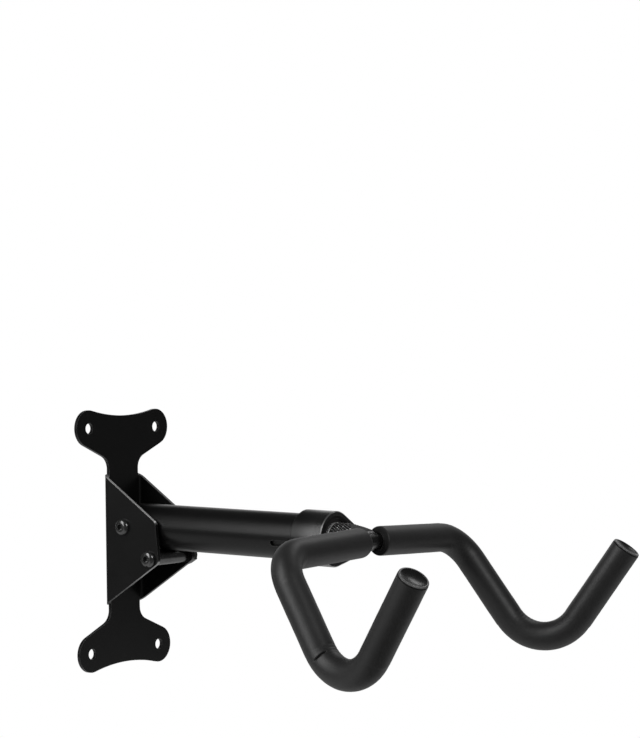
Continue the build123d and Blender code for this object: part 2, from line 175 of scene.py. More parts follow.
class Paint:
    """Builds the nodes of one material or of the world."""

    def __init__(self, owner):
        owner.use_nodes = True
        self.owner = owner
        self.tree = owner.node_tree
        self.tree.nodes.clear()

    def find(self, sockets, key):
        """A socket by its number, identifier or name."""
        if isinstance(key, int):
            return sockets[key]
        return next(s for s in sockets if key in (s.identifier, s.name))

    def node(self, kind, settings=None, inputs=None, out=0):
        """Adds a node, fills or links its sockets, and returns one of its outputs if it has any."""
        made = self.tree.nodes.new(kind)
        for name, value in (settings or {}).items():
            setattr(made, name, value)
        for key, value in (inputs or {}).items():
            socket = self.find(made.inputs, key)
            if isinstance(value, Wire):
                self.tree.links.new(value.socket, socket)
            else:
                socket.default_value = value
        return Wire(self, self.find(made.outputs, out)) if len(made.outputs) else None


def grey(value):
    """A neutral colour."""
    return (value, value, value, 1.0)


print("shader sums ready")

# %% [markdown]
# ## Words that the finishes share
#
# Every finish needs the same few things: a place on the surface, a cloud or grain of a given size, a soft
# step between two levels, and a blend of two colours. Grain sizes are given as real sizes, because a scale
# of 1250 says little and a grain of 0.8 mm says what to look for on the object.

# %% Shared shader words
def place(paint):
    """The point on the surface, in the rack's own frame, so that the grain rides with the piece."""
    return paint.node("ShaderNodeTexCoord", out="Object")


def facing(paint):
    """The way the surface faces."""
    return paint.node("ShaderNodeNewGeometry", out="Normal")


def grain(paint, size, detail=3.0):
    """A cloud from 0 to 1 whose blobs are about this size."""
    inputs = {"Vector": place(paint), "Scale": 1 / size, "Detail": detail}
    return paint.node("ShaderNodeTexNoise", {}, inputs)


def step(paint, value, low, high):
    """0 below low, 1 above high and a smooth rise between them."""
    settings = {"interpolation_type": "SMOOTHSTEP", "clamp": True}
    return paint.node("ShaderNodeMapRange", settings, {"Value": value, "From Min": low, "From Max": high})


def blend(paint, share, first, second):
    """A colour between two, as the share goes from 0 to 1."""
    inputs = {"Factor_Float": share, "A_Color": first, "B_Color": second}
    return paint.node("ShaderNodeMix", {"data_type": "RGBA"}, inputs, "Result_Color")


def dot(paint, first, second):
    """How far two directions agree, or how far a place lies along a direction."""
    return paint.node("ShaderNodeVectorMath", {"operation": "DOT_PRODUCT"}, {0: first, 1: second}, "Value")


def from_pivot(paint, direction, start=0.0):
    """Distance from the pivot along one of the arm's directions, counted from a start."""
    return dot(paint, place(paint), tuple(direction)) - (direction.dot(pivot) + start)


def bump(paint, height, depth, strength=1.0):
    """The surface normal tilted by a height map that is this deep."""
    return paint.node("ShaderNodeBump", {}, {"Height": height, "Distance": depth, "Strength": strength})


def rubbed_and_highlit_edge(paint, width):
    """1 on a sharp edge and 0 on open faces: where hands and packing rub first, and where edges get a
    painted highlight.
    """
    rounded = paint.node("ShaderNodeBevel", {"samples": 6}, {"Radius": width})
    return step(paint, 1 - dot(paint, rounded, facing(paint)), 0.02, 0.25)


def finish(name, make):
    """A material whose make function returns the values of its main shader."""
    paint = Paint(bpy.data.materials.new(name))
    shader = paint.node("ShaderNodeBsdfPrincipled", {}, make(paint))
    paint.node("ShaderNodeOutputMaterial", {}, {"Surface": shader})
    return paint.owner


print("shader words ready")

# %% [markdown]
# ## Satin black coat
#
# Bracket, tube, collar, rod and welds carry a satin black powder coat. Close up it is not flat: it has a
# fine orange-peel skin under a millimetre across, slow clouds in its gloss, a few pale dust specks, and it
# is thinner and paler along cut edges, where that pale colour is also a painted highlight that draws the
# edges as thin bright lines. A single dark colour would look like a hole in the picture. Two finishes come
# straight from it. The bracket's is rubbed through to steel on the sloping edges of its cheeks, most on the
# left one, and that pale steel is also a painted highlight on those edges, brighter on the left cheek. On
# rod and welds the coat ran together thicker, so it is glossier.

# %% Satin black coat
COAT_DARK = 0.0050
COAT_LIGHT = 0.0075
# pale edge colour: thinner coat, and a painted highlight that draws the edges as bright lines
COAT_EDGE_AND_HIGHLIGHT = 0.16               # where it is thin
DUST_TONE = 0.16
# pale steel on the cheeks' slopes: wear, and a painted highlight on those edges
SLOPE_STEEL_HIGHLIGHT = 0.48             # where it is rubbed through
GLOSS_CLOUD = 28 * MM
PEEL = 0.9 * MM
EDGE_RUB_AND_HIGHLIGHT = 0.7 * MM
SPECK_SPACING = 11 * MM
SPECK_SIZE = 0.32 * MM
RUB_PATCH = 9 * MM
HALF_MIDDLE = 5 * MM           # half of a zone that lies between the cheeks


def dust(paint, spacing, size):
    """Sparse pale specks, as on any black part in a photograph."""
    settings = {"feature": "F1", "distance": "EUCLIDEAN"}
    inputs = {"Vector": place(paint), "Scale": 1 / spacing, "Randomness": 1.0}
    far = paint.node("ShaderNodeTexVoronoi", settings, inputs, "Distance")
    return 1 - step(paint, far, 0.5 * size / spacing, size / spacing)


def satin_coat(paint):
    """The plain coat, which the other coats start from."""
    clouds = grain(paint, GLOSS_CLOUD)
    peel = grain(paint, PEEL, 2.0)
    rub_and_highlight = rubbed_and_highlit_edge(paint, EDGE_RUB_AND_HIGHLIGHT)
    colour = blend(paint, clouds, grey(COAT_DARK), grey(COAT_LIGHT))
    # pale edges: thinner coat, and a painted highlight along each edge
    colour = blend(paint, rub_and_highlight * 0.8, colour, grey(COAT_EDGE_AND_HIGHLIGHT))
    colour = blend(paint, dust(paint, SPECK_SPACING, SPECK_SIZE) * 0.35, colour, grey(DUST_TONE))
    return {
        "Base Color": colour,
        "Roughness": 0.24 + clouds * 0.06 + peel * 0.06,
        "Specular IOR Level": 0.40,
        "Normal": bump(paint, peel, 0.03 * MM, 0.5),
    }


def sheet_coat(paint):
    """The coat of the bracket, rubbed through on the sloping cut edges of its cheeks, where the steel is
    also a painted highlight.
    """
    values = satin_coat(paint)
    lean = dot(paint, facing(paint), (0, 1, 0)) * dot(paint, facing(paint), (0, 0, 1))
    # sloping edges: steel rubbed bare and also a painted highlight, weaker on the right cheek, which is less
    # lit
    slope_rub_and_highlight = step(paint, lean * lean, 0.04, 0.16) * (0.55 + grain(paint, RUB_PATCH) * 0.45)
    right_cheek = step(paint, from_pivot(paint, sideways), -HALF_MIDDLE, HALF_MIDDLE)
    slope_rub_and_highlight = slope_rub_and_highlight * (1 - right_cheek * 0.7)
    values["Base Color"] = blend(paint, slope_rub_and_highlight, values["Base Color"], grey(SLOPE_STEEL_HIGHLIGHT))
    values["Metallic"] = slope_rub_and_highlight * 0.8
    return values


def welded_coat(paint):
    """The same coat where it ran over rod and welds: thicker, so glossier."""
    values = satin_coat(paint)
    values["Roughness"] = 0.20 + grain(paint, PEEL, 2.0) * 0.06
    values["Specular IOR Level"] = 0.80
    return values


rod_coat = finish("run_black_coat", welded_coat)
bracket_coat = finish("rubbed_and_highlit_sheet_coat", sheet_coat)
print("made", rod_coat.name, bracket_coat.name)

# %% [markdown]
# ## Coat of the tube
#
# The tube has the plain coat, and a dark line where it goes into the collar: dirt gathers along that edge,
# and the line is also painted shade where the collar meets the tube. The line could be painted on an
# unwrapped tube. It lies at one distance along the arm, so two soft steps of that distance draw it here,
# and it stays right if the collar is moved.

# %% Coat of the tube
COLLAR_FRONT = 204.5 * MM      # distance from the pivot along the arm
COLLAR_LENGTH = 30.0 * MM
SEAM_DIRT_AND_SHADE_TONE = 0.001
SEAM_COMES = (-1.1 * MM, -0.7 * MM)   # behind the collar's back edge
SEAM_GOES = (0.5 * MM, 1.0 * MM)      # and under the collar


def seamed_coat(paint):
    """The tube's coat, with a dark line of dirt and painted shade along the collar's back edge."""
    values = satin_coat(paint)
    past = from_pivot(paint, outward, COLLAR_FRONT - COLLAR_LENGTH)
    seam_dirt_and_shade = step(paint, past, *SEAM_COMES) * (1 - step(paint, past, *SEAM_GOES))
    # dark line: dirt, and painted shade where the tube goes into the collar
    values["Base Color"] = blend(paint, seam_dirt_and_shade, values["Base Color"], grey(SEAM_DIRT_AND_SHADE_TONE))
    values["Roughness"] = values["Roughness"] + seam_dirt_and_shade * 0.5
    return values


tube_coat = finish("seamed_black_coat", seamed_coat)
print("made", tube_coat.name)

# %% [markdown]
# ## Turned coat on the collar
#
# The collar was turned before it was coated, and fine rings of the tool, about a millimetre from crest to
# crest, still show near its front. The gloss grows towards the front too, and the front corner is worn and
# painted bright as a highlight, most low down. All of it depends on the distance along the arm and the
# distance off its axis, so no painted mask is needed: a sine gives the rings, with a little noise so that no
# two of them match.

# %% Turned coat on the collar
COLLAR_RADIUS = 22.5 * MM
RING_PITCH = 1.1 * MM
RING_WANDER = 3 * MM
RINGS_COME = (-14 * MM, -4 * MM)       # behind the collar's front
GLOSS_COMES = (-27 * MM, -7 * MM)
CORNER_WEAR_AND_HIGHLIGHT = (-0.95 * MM, -0.70 * MM)  # along and off the axis together, from the sharp corner
# the corner's painted highlight fades above the axis
CORNER_HIGHLIGHT_FADES = (4 * MM, 18 * MM)      # above the axis, where less is rubbed
LUG_COMES = 0.3 * MM                   # beyond the collar's radius there is only its lug
# pale front corner: wear, and a painted highlight
CORNER_WEAR_AND_HIGHLIGHT_TONE = 0.75


def off_axis(paint):
    """Distance from the arm's axis."""
    side = from_pivot(paint, sideways)
    rise = from_pivot(paint, upward)
    return (side * side + rise * rise) ** 0.5


def worn_and_highlit_corner(paint, reach):
    """1 on the rounded front corner and 0 elsewhere, weaker towards the top: worn and painted as a
    highlight.
    """
    radius = off_axis(paint)
    corner = step(paint, reach + radius - COLLAR_RADIUS, *CORNER_WEAR_AND_HIGHLIGHT)
    rub_and_highlight = corner * (1 - step(paint, radius, COLLAR_RADIUS, COLLAR_RADIUS + LUG_COMES))
    on_front = step(paint, dot(paint, facing(paint), tuple(outward)), 0.93, 0.99)
    rub_and_highlight = rub_and_highlight * (1 - on_front)
    return rub_and_highlight * (1 - step(paint, from_pivot(paint, upward), *CORNER_HIGHLIGHT_FADES) * 0.75)


def turned_coat(paint):
    """The collar's coat, with rings, gloss and a corner towards its front painted bright as a highlight."""
    values = satin_coat(paint)
    reach = from_pivot(paint, outward, COLLAR_FRONT)
    turns = reach * (2 * pi / RING_PITCH) + grain(paint, RING_WANDER) * 2
    rings = paint.node("ShaderNodeMath", {"operation": "SINE"}, {0: turns})
    rings = rings * step(paint, reach, *RINGS_COME)
    peel = grain(paint, PEEL, 2.0)
    rub_and_highlight = worn_and_highlit_corner(paint, reach)
    # front corner: worn, and painted pale as a highlight
    values["Base Color"] = blend(paint, rub_and_highlight, values["Base Color"], grey(CORNER_WEAR_AND_HIGHLIGHT_TONE))
    values["Normal"] = bump(paint, rings + peel, 0.03 * MM, 0.8)
    values["Roughness"] = 0.28 + rings * 0.06 + peel * 0.06
    values["Specular IOR Level"] = 0.45
    values["Coat Weight"] = step(paint, reach, *GLOSS_COMES)
    values["Coat Roughness"] = 0.26
    return values


collar_coat = finish("turned_black_coat", turned_coat)
print("made", collar_coat.name)

# %% [markdown]
# ## Blackened fasteners
#
# Bolts, nuts, washers and spacers are blackened steel. They could share the coat, but a dark metal takes a
# sharper shine than a paint does, and it goes pale on edges where the black has rubbed thin; that pale edge
# is also a painted highlight, the bright ring round each bolt head. Both show on the bolt heads.

# %% Blackened fasteners
STEEL_STAIN = 2.2 * MM
STEEL_GRAIN = 0.5 * MM
BOLT_EDGE_HIGHLIGHT = 0.45 * MM


def blackened_steel(paint):
    """Dark metal with small stains, pale on its edges from wear and a painted highlight."""
    stain = grain(paint, STEEL_STAIN, 4.0)
    rub_and_highlight = rubbed_and_highlit_edge(paint, BOLT_EDGE_HIGHLIGHT)
    colour = blend(paint, stain, grey(0.10), grey(0.19))
    # pale edges: black rubbed thin, and a painted highlight round the bolt heads
    colour = blend(paint, rub_and_highlight * 0.7, colour, grey(0.60))
    return {
        "Base Color": colour,
        "Metallic": 0.9,
        "Roughness": 0.16 + stain * 0.12,
        "Normal": bump(paint, grain(paint, STEEL_GRAIN), 0.01 * MM, 0.5),
    }


fastener_steel = finish("blackened_fastener_steel", blackened_steel)
print("made", fastener_steel.name)

# %% [markdown]
# ## Knurled steel
#
# The stem is blackened too, but the tips of its knurl are bright in patches, because the collar has scraped
# them, and that bright colour is also a painted glint for the sparkle of the tips. The finish knows a tip
# from a groove by its distance from the arm's axis, which works on any knurl and needs no painted mask.
# Ahead of the knurl the stem stays dark.

# %% Knurled steel
STEM_RADIUS = 13.5 * MM
KNURL_DEPTH = 0.75 * MM
KNURL_FRONT = 225 * MM
SCRAPED_PATCH = 1.6 * MM
# bright tips: scraped steel, painted pale as a glint too
KNURL_WEAR_AND_GLINT = (0.55, 0.15)    # shares of its depth where the bright tip begins and is full
WEAR_AND_GLINT_GOES = (-0.5 * MM, 0.5 * MM)    # from the knurl's front


def knurled_steel(paint):
    """Blackened steel with bright patches on the tips of the knurl: scraped steel, and a painted glint."""
    low, high = (STEM_RADIUS - share * KNURL_DEPTH for share in KNURL_WEAR_AND_GLINT)
    tip = step(paint, off_axis(paint), low, high)
    stain = grain(paint, SCRAPED_PATCH, 4.0)
    scraped = 0.25 + step(paint, stain, 0.40, 0.60) * 0.75
    ahead_of_knurl = step(paint, from_pivot(paint, outward, KNURL_FRONT), *WEAR_AND_GLINT_GOES)
    bright_wear_and_glint = tip * scraped * (1 - ahead_of_knurl * 0.85)
    return {
        # the pale tips are a painted glint as well as scraped steel
        "Base Color": blend(paint, bright_wear_and_glint, grey(0.020), grey(0.85)),
        "Metallic": 0.9 - bright_wear_and_glint * 0.6,
        "Roughness": 0.50 - bright_wear_and_glint * 0.20,
        "Normal": bump(paint, stain, 0.02 * MM, 0.5),
    }


stem_steel = finish("knurled_stem_steel", knurled_steel)
print("made", stem_steel.name)

# %% [markdown]
# ## Nylon, foam and cap plastic
#
# Three finishes that differ mostly in their skin. Nylon is smooth and slightly waxy. Closed-cell foam is
# dull, with pores well under a millimetre over a faint leathery unevenness, and a thin sheen at grazing
# angles; the floors of its pores are painted darker as shade. Where it was cut, its cells are open, dark
# and dull, and the cut ends are darkened further as painted shade: the end beside the stem is found by the
# way it faces, and the lip round the cap by a mark kept on the mesh. The caps are moulded glossy, with
# sharp reflections and faint sink marks, and their rims are painted paler as a highlight, and made rougher
# as wear, where another mark on the mesh says so.

# %% Nylon, foam and cap plastic
NYLON_CLOUD = 6 * MM
NYLON_GRAIN = 0.6 * MM
FOAM_PORE = 0.55 * MM
FOAM_LEATHER = 2.4 * MM
FOAM_CLOUD = 30 * MM
CUT_END_STOPS = (16 * MM, 18 * MM)     # from the rack's middle: keeps to the ends beside the stem
SINK_MARK = 7 * MM
GLOSS_PATCH = 3 * MM
RIM_HIGHLIGHT_PATCH = 6 * MM


def waxy_nylon(paint):
    """Smooth plastic with slow clouds."""
    clouds = grain(paint, NYLON_CLOUD)
    return {
        "Base Color": blend(paint, clouds, grey(0.014), grey(0.022)),
        "Roughness": 0.46 + clouds * 0.1,
        "Normal": bump(paint, grain(paint, NYLON_GRAIN), 0.01 * MM, 0.4),
    }


def cut_foam_and_shade(paint):
    """1 on the cut ends of a sleeve and 0 on its skin: open cells, painted darker as shade too."""
    to_side = dot(paint, facing(paint), tuple(sideways))
    off_middle = dot(paint, place(paint), tuple(sideways))
    cut = step(paint, to_side * to_side, 0.35, 0.75)
    cut = cut * (1 - step(paint, off_middle * off_middle, *(stop**2 for stop in CUT_END_STOPS)))
    cut_and_shaded_lip = paint.node("ShaderNodeAttribute", {"attribute_name": "cut_and_shaded_lip"}, out="Fac")
    return paint.node("ShaderNodeMath", {"operation": "MAXIMUM"}, {0: cut, 1: cut_and_shaded_lip})


def closed_foam(paint):
    """Dull foam with fine pores."""
    pores = grain(paint, FOAM_PORE, 3.0)
    leather = grain(paint, FOAM_LEATHER, 3.0)
    clouds = grain(paint, FOAM_CLOUD)
    # the floors of the pores are painted darker as shade
    outside_pore_shade = step(paint, pores, 0.36, 0.56)
    cut = cut_foam_and_shade(paint)
    colour = blend(paint, clouds, grey(0.017), grey(0.023))
    colour = blend(paint, outside_pore_shade, grey(0.010), colour)
    # cut ends and lip: open cells, darkened further as painted shade
    colour = blend(paint, cut, colour, grey(0.004))
    return {
        "Base Color": colour,
        "Roughness": 0.44 + leather * 0.10 + cut * 0.45,
        "Specular IOR Level": 0.75,
        "Sheen Weight": 0.06,
        "Sheen Roughness": 0.45,
        "Normal": bump(paint, pores * 0.6 + leather, 0.04 * MM, 0.45),
    }


def moulded_gloss(paint):
    """Glossy plastic, painted paler as a highlight and rougher as wear where the rim is marked."""
    sink = grain(paint, SINK_MARK, 2.0)
    rim_wear_and_highlight = paint.node("ShaderNodeAttribute", {"attribute_name": "rim_wear_and_highlight"}, out="Fac")
    rim_wear_and_highlight = rim_wear_and_highlight * (0.6 + grain(paint, RIM_HIGHLIGHT_PATCH) * 0.4)
    colour = blend(paint, sink, grey(0.008), grey(0.013))
    return {
        # pale rim: a painted highlight, with the wear that makes it rougher
        "Base Color": blend(paint, rim_wear_and_highlight, colour, grey(0.17)),
        "Roughness": 0.24 + grain(paint, GLOSS_PATCH) * 0.08 + rim_wear_and_highlight * 0.15,
        "Normal": bump(paint, sink, 0.12 * MM, 0.35),
    }


nylon = finish("waxy_nylon", waxy_nylon)
foam = finish("closed_cell_foam", closed_foam)
cap_plastic = finish("moulded_gloss_plastic", moulded_gloss)
print("made", nylon.name, foam.name, cap_plastic.name)

# %% [markdown]
# ## Broken edges on sheet and tube
#
# The solids have mathematically sharp edges, and those never catch the light. Cut steel under a coat has
# edges rounded by a few tenths of a millimetre, and in the photograph they draw the bracket's outline as
# thin bright lines. Each steel node is copied, welded, cleared of the triangles on its flat faces, and its
# sharp edges are bevelled. The copy then stands in for the node.

# %% Broken edges on sheet and tube
WELD_DISTANCE = 0.001 * MM
FLAT_ANGLE = radians(0.4)
SHARP_ANGLE = radians(25)
SHEET_EASE = 0.45 * MM
TUBE_EASE = 0.25 * MM
COLLAR_EASE = 0.7 * MM


def mesh_object(name, shape):
    """A new object made of a finished bmesh."""
    mesh = bpy.data.meshes.new(name)
    shape.to_mesh(mesh)
    shape.free()
    return add_object(name, mesh)


def new_piece(name, shape, finish_of, body):
    """A smooth-shaded piece made of a finished bmesh, which rides on a body."""
    piece = mesh_object(name, shape)
    piece.data.materials.append(finish_of)
    piece.data.polygons.foreach_set("use_smooth", [True] * len(piece.data.polygons))
    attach(piece, body)
    return piece


def with_broken_edges(node, width, finish_of, body):
    """A copy of a node's solid with its sharp edges rounded, shown in its place."""
    shape = bmesh.new()
    shape.from_mesh(nodes[node].data)
    bmesh.ops.remove_doubles(shape, verts=shape.verts, dist=WELD_DISTANCE)
    bmesh.ops.dissolve_limit(shape, angle_limit=FLAT_ANGLE, verts=shape.verts, edges=shape.edges)
    sharp = [edge for edge in shape.edges if edge.calc_face_angle(0) > SHARP_ANGLE]
    bmesh.ops.bevel(shape, geom=sharp, offset=width, segments=2, profile=0.5, affect="EDGES",
                    clamp_overlap=True)
    bmesh.ops.triangulate(shape, faces=[face for face in shape.faces if len(face.verts) > 4])
    piece = new_piece(node + "_eased", shape, finish_of, body)
    weighted = piece.modifiers.new("flat faces stay flat", "WEIGHTED_NORMAL")
    weighted.weight = 90
    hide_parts(node)
    return piece


bracket = with_broken_edges("wall_bracket", SHEET_EASE, bracket_coat, "bracket")
tube = with_broken_edges("arm_tube", TUBE_EASE, tube_coat, "arm")
collar = with_broken_edges("clamp_collar", COLLAR_EASE, collar_coat, "arm")
for piece in (bracket, tube, collar):
    print(piece.name, len(piece.data.polygons), "faces")

# %% [markdown]
# ## Line of the hooks
#
# The foam follows the bent rod inside it: straight runs joined by arcs, as a pipe bender makes them. A
# curve object could draw that, but the foam needs to know how far along it is and where the bend's centre
# lies, so the line is a small class that answers both questions for any distance from its start.

# %% Line of the hooks
YOKE_OUT = 236 * MM            # pivot to the middle of the crossbar
CORNER = (122 * MM, 3 * MM, 3.5 * MM)  # to the side, further out, further down
VALLEY = (138.3 * MM, 79.2 * MM, 108.5 * MM)
TIP = (155 * MM, 146 * MM, 6 * MM)
BENDS = (28 * MM, 36 * MM)     # at the corner and at the valley
FOAM_GAP = 0.5 * MM            # between the stem's side and the foam
CAP_FLANGE = 3 * MM


def yoke_point(side, spot):
    """A point of one hook, measured from the middle of the crossbar."""
    return on_arm(YOKE_OUT + spot[1], side * spot[0], -spot[2])


class BentLine:
    """Straight runs joined by arcs, one radius for each corner."""

    def __init__(self, points, radii):
        self.parts = []
        start = points[0]
        for before, corner, after, radius in zip(points, points[1:], points[2:], radii):
            first = (corner - before).normalized()
            second = (after - corner).normalized()
            turn = first.angle(second)
            reach = radius * tan(turn / 2)
            inward = (second - first).normalized()
            self.add_run(start, corner - first * reach)
            self.parts.append((radius * turn, corner - first * reach, first, inward, radius))
            start = corner + second * reach
        self.add_run(start, points[-1])
        self.length = sum(part[0] for part in self.parts)

    def add_run(self, start, end):
        """One straight run."""
        self.parts.append(((end - start).length, start, (end - start).normalized(), None, 0))

    def at(self, distance):
        """Point, direction, and the unit vector to the bend's centre or a zero vector on a straight run."""
        for part in self.parts:
            length, start, way, inward, radius = part
            if distance <= length or part is self.parts[-1]:
                break
            distance -= length
        if inward is None:
            return start + way * distance, way, Vector((0, 0, 0))
        axis = way.cross(inward).normalized()
        to_centre = axis.cross(way)
        spin = Quaternion(axis, distance / radius)
        centre = start + to_centre * radius
        return centre + spin @ (start - centre), spin @ way, spin @ to_centre


hook_line = {}
for side in (-1, 1):
    middle, corner, valley, tip = (yoke_point(side, spot) for spot in ((0, 0, 0), CORNER, VALLEY, TIP))
    foam_start = middle + (corner - middle) * ((STEM_RADIUS + FOAM_GAP) / CORNER[0])
    foam_end = tip - (tip - valley).normalized() * CAP_FLANGE
    hook_line[side] = BentLine([foam_start, corner, valley, foam_end], BENDS)
print(f"each foam sleeve is {hook_line[1].length:.3f} m long")

# %% [markdown]
# ## Section of a foam sleeve
#
# A foam grip is a thick tube pushed over the rod, and its edges are soft. The section is drawn as a closed
# chain of distances and radii: out along the skin and back along the bore. Each link of the chain will
# become one ring of points. At its far end the squeezed foam swells up a little way round the cap. Links
# lie closer together where the near sleeve has a cut, so that the cut can be sharp.

# %% Section of a foam sleeve
FOAM_RADIUS = 11.85 * MM
FOAM_BORE = 6.15 * MM
SOFT_EDGE = 1.4 * MM           # edge beside the stem
CAP_EDGE = 0.6 * MM            # edge round the cap
CAP_LAP = 1.6 * MM             # how far the squeezed foam swells up round the cap
SKIN_STEP = 1.0 * MM
BORE_STEPS = 90
CUT_AT = 189.0 * MM            # distance along the near sleeve
CUT_ZONE = 2 * MM
CUT_FINENESS = 0.12            # share of the skin's step that is left near the cut


def quarter_round(centre, radius, edge, first, last, count=6):
    """A rounded corner of a section, as distances and radii."""
    angles = [first + (last - first) * k / count for k in range(count + 1)]
    return [(centre + edge * cos(a), radius - edge + edge * sin(a)) for a in angles]


def sleeve_section(length):
    """The closed chain of (distance, radius): soft edge, skin, cap edge, bore."""
    chain = quarter_round(SOFT_EDGE, FOAM_RADIUS, SOFT_EDGE, pi, pi / 2)
    distance = SOFT_EDGE + SKIN_STEP
    tip = length + CAP_LAP
    while distance < tip - CAP_EDGE - SKIN_STEP / 2:
        chain.append((distance, FOAM_RADIUS))
        distance += SKIN_STEP * (CUT_FINENESS if abs(distance - CUT_AT) < CUT_ZONE else 1)
    chain += quarter_round(tip - CAP_EDGE, FOAM_RADIUS, CAP_EDGE, pi / 2, 0)
    return chain + [(length * (1 - k / BORE_STEPS), FOAM_BORE) for k in range(BORE_STEPS + 1)]


print(len(sleeve_section(hook_line[1].length)), "rings in a sleeve")

# %% [markdown]
# ## Give of the foam
#
# Foam bunches a little on the inside of each bend, is pulled thinner on the outside, and its wall is never
# quite even. All of that is small, but it is what tells foam from a turned bar. Beside the stem the sleeve
# is free in front and held back behind, so its end leans forward. The near sleeve also has a short cut
# across its outer side, low on the bend. A sculpted mesh could hold all this, but here each of them is a
# distance that is worked out for any point of the skin, so it can be changed later.

# %% Give of the foam
UNEVEN = ((0.10 * MM, 22 * MM), (0.05 * MM, 6 * MM))   # depths and sizes
PLEAT_DEPTH = 0.22 * MM
PLEAT_PITCH = 4.1 * MM
PLEAT_PATCH = 9 * MM
BEND_THINS = 0.30 * MM
START_LEAN = 3.0 * MM          # how far the free side of the end reaches towards the middle
LEAN_FADES = 14 * MM
CUT_FACING = Vector((-0.87, -0.17, 0.43)).normalized()
CUT_HALF_ANGLE = radians(31)
CUT_WIDTH = 0.75 * MM
CUT_DEPTH = 1.6 * MM


def foam_give(side, distance, spot, radial, inward):
    """How far the skin stands off its true radius: unevenness, bends and the cut."""
    give = sum(depth * noise.noise(spot / size) for depth, size in UNEVEN)
    lean = radial.dot(inward)
    if lean > 0:
        pleat = 0.5 + 0.5 * sin(2 * pi * distance / PLEAT_PITCH)
        give -= PLEAT_DEPTH * lean * pleat * (0.5 + 0.5 * noise.noise(spot / PLEAT_PATCH))
    give -= BEND_THINS * max(0.0, -lean) ** 2
    if side < 0 and abs(distance - CUT_AT) < 4 * CUT_WIDTH:
        apart = acos(max(-1.0, min(1.0, radial.dot(CUT_FACING))))
        share = max(0.0, 1 - (apart / CUT_HALF_ANGLE) ** 4)
        give -= CUT_DEPTH * share * exp(-(((distance - CUT_AT) / CUT_WIDTH) ** 2))
    return give


def end_lean(distance, radial):
    """How far a point near the start is pushed towards the middle, most in front of the stem."""
    free = (0.5 + 0.5 * radial.dot(outward)) ** 2
    return START_LEAN * free * max(0.0, 1 - distance / LEAN_FADES)


print(f"the cut is {CUT_DEPTH / MM:.1f} mm deep and a bend thins the foam by {BEND_THINS / MM:.1f} mm")

# %% [markdown]
# ## Foam sleeves
#
# Now the rings are set along the hook's line and joined by four-sided faces, skin and bore in one go. A
# curve with a round profile would be quicker, but it has no bore and no soft ends. The lip that the foam
# has round the cap is marked on the mesh, because the finish gives it the dark look of a cut, darkened
# further as painted shade where foam meets cap.

# %% Foam sleeves
FOAM_SEGMENTS = 80
# the lip round the cap is darkened as open cells and as painted shade
LIP_SHADE_DEPTH = 0.45 * MM          # dark part of the end round the cap


def bridge(shape, loops, closed=False):
    """Quads between rings of equally many points, and back to the first ring if closed."""
    for loop, after in zip(loops, loops[1:] + loops[:1] if closed else loops[1:]):
        for k in range(len(loop)):
            j = (k + 1) % len(loop)
            shape.faces.new((loop[k], loop[j], after[j], after[k]))


def foam_sleeve(side, hand):
    """One sleeve: rings of points along the hook's line, closed into a tube with a bore."""
    line = hook_line[side]
    shape = bmesh.new()
    cut_and_shaded_lip = shape.verts.layers.float.new("cut_and_shaded_lip")
    loops = []
    ring_up = upward
    for distance, radius in sleeve_section(line.length):
        spot, way, inward = line.at(distance)
        ring_up = (ring_up - way * ring_up.dot(way)).normalized()
        ring_side = way.cross(ring_up)
        loop = []
        for k in range(FOAM_SEGMENTS):
            angle = 2 * pi * k / FOAM_SEGMENTS
            radial = ring_up * cos(angle) + ring_side * sin(angle)
            skin = radius
            if radius > FOAM_BORE:
                skin += foam_give(side, distance, spot + radial * radius, radial, inward)
            point = shape.verts.new(spot + radial * skin - way * end_lean(distance, radial))
            point[cut_and_shaded_lip] = float(distance > line.length + CAP_LAP - LIP_SHADE_DEPTH)
            loop.append(point)
        loops.append(loop)
    bridge(shape, loops, closed=True)
    bmesh.ops.recalc_face_normals(shape, faces=shape.faces)
    piece = new_piece("foam_grip_" + hand, shape, foam, "yoke")
    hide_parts("foam_sleeve_" + hand)
    return piece


for side, hand in ((-1, "left"), (1, "right")):
    sleeve = foam_sleeve(side, hand)
    print(sleeve.name, len(sleeve.data.polygons), "faces")

# %% [markdown]
# ## End caps
#
# Each hook ends in a moulded cap: a plug in the foam's bore, a thin flange with a rounded rim, and a shallow
# dish in its face. The dish and the rim are what the cap shows in the picture, as a bright patch and a thin
# pale ring, so both are drawn with enough points to bend a reflection smoothly. A turned section is all it
# takes. The rim's outer rounding is marked for the finish, which paints it pale as a highlight and makes it
# rougher as wear, and the rounded foot leaves the thin dark line that parts cap from foam.

# %% End caps
CAP_RADIUS = 11.7 * MM
CAP_PLUG = 10 * MM
PLUG_RADIUS = 6.05 * MM
PLUG_CHAMFER = 0.6 * MM
CAP_RIM = 1.9 * MM
CAP_TOP_ROUND = 0.8 * MM
CAP_FOOT_ROUND = 0.5 * MM
CAP_SEAT = 0.1 * MM            # gap between foam and flange
CAP_FOOT = CAP_LAP + CAP_SEAT
# the rim's painted highlight and wear reach this far, down and inwards
RIM_WEAR_AND_HIGHLIGHT = 0.6 * MM            # how far the rim is worn, down and inwards
CAP_DISH = 2.4 * MM
CAP_LIP = 0.4 * MM             # rounding between rim and dish
LIP_STEPS = 4
DISH_STEPS = 16
CAP_SEGMENTS = 96
CAP_CREASE = radians(40)


